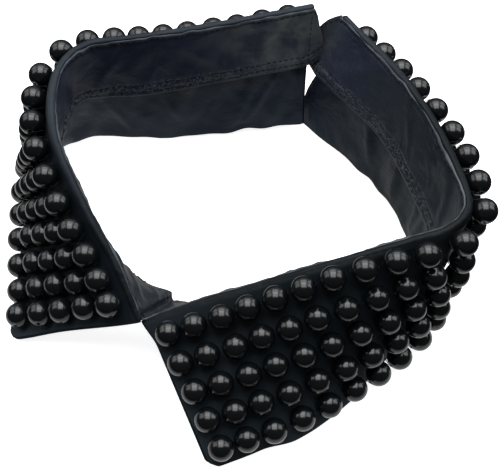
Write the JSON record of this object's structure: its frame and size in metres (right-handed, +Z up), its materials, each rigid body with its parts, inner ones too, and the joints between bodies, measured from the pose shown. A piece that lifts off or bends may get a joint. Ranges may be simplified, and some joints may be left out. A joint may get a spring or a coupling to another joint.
{
  "type": "detachable collar",
  "caption": "Detachable satin shirt collar with pointed wings, a leaf folded over a neck band, covered in round glossy beads",
  "frame": {"origin": "middle of the footprint, on the table", "axes": "+X towards the wearer's left, -Y the front with the two wings, +Z up; the collar stands on the lower edges of the leaf"},
  "size_m": [0.1758, 0.1646, 0.0541],
  "materials": {
    "beaded_cloth": "dark blue-black satin",
    "satin": "blue-black satin with a soft sheen",
    "beads": "black, polished",
    "closure": "black, plain"
  },
  "bodies": {
    "root": {"leaf_right": "beaded_cloth", "leaf_left": "beaded_cloth", "neck_band": "satin", "beads_right": "beads", "beads_left": "beads", "closure_pad": "closure"}
  },
  "joints": []
}
